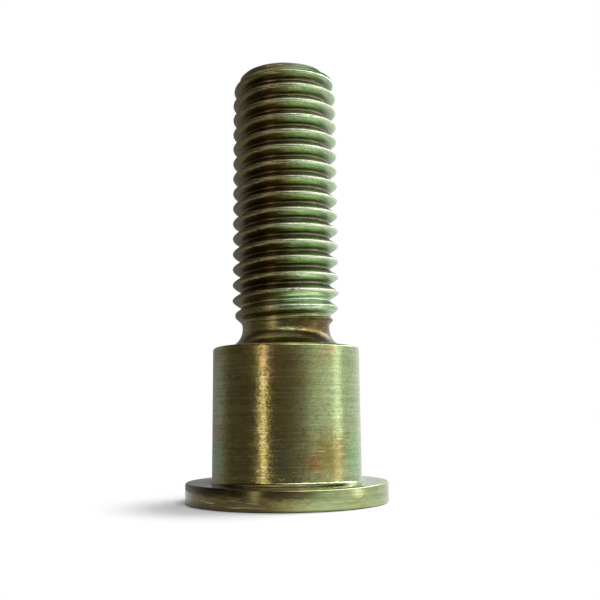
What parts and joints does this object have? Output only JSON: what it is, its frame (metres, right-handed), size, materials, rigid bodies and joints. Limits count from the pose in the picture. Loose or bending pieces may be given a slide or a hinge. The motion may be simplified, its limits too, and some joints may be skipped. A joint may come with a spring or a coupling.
{
  "type": "shoulder bolt",
  "caption": "Headed bolt with a plain ground-diameter shoulder, a relief groove and a threaded end, driven by a hexagon socket in its thin flat head.",
  "frame": {"origin": "middle of the head's outer face, the face with the socket, which the bolt stands on", "axes": "+Z along the bolt's axis from the head to the threaded tip; X and Y are radial, with -Y facing the viewer"},
  "size_m": [0.0216, 0.0216, 0.0477],
  "materials": {
    "plated_steel": "turned steel, zinc plated with a yellow chromate film that shows olive, green and gold"
  },
  "bodies": {
    "root": {"shoulder_bolt": "plated_steel"}
  },
  "joints": []
}
